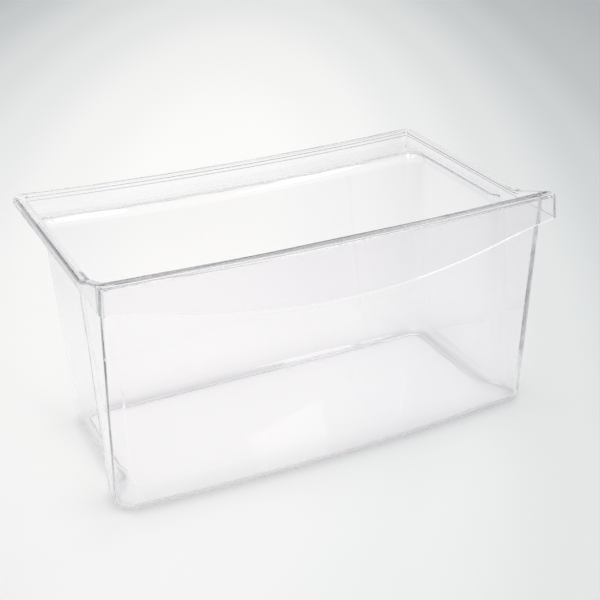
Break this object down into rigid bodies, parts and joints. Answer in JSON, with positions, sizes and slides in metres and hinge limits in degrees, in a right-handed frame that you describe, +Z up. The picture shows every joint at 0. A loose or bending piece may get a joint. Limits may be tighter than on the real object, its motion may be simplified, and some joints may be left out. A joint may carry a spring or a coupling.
{
  "type": "refrigerator crisper drawer",
  "caption": "Clear moulded open-top refrigerator drawer with a bowed front, a hanging pull lip, a flanged rim to slide on and a sloping back.",
  "frame": {"origin": "middle of the footprint, on the surface the drawer stands on", "axes": "+Z up out of the open top, +X across the width, and the front with its pull lip faces -Y"},
  "size_m": [0.4, 0.247, 0.205],
  "materials": {
    "clear_plastic": "polished clear polystyrene"
  },
  "bodies": {
    "root": {"crisper_drawer": "clear_plastic"}
  },
  "joints": []
}
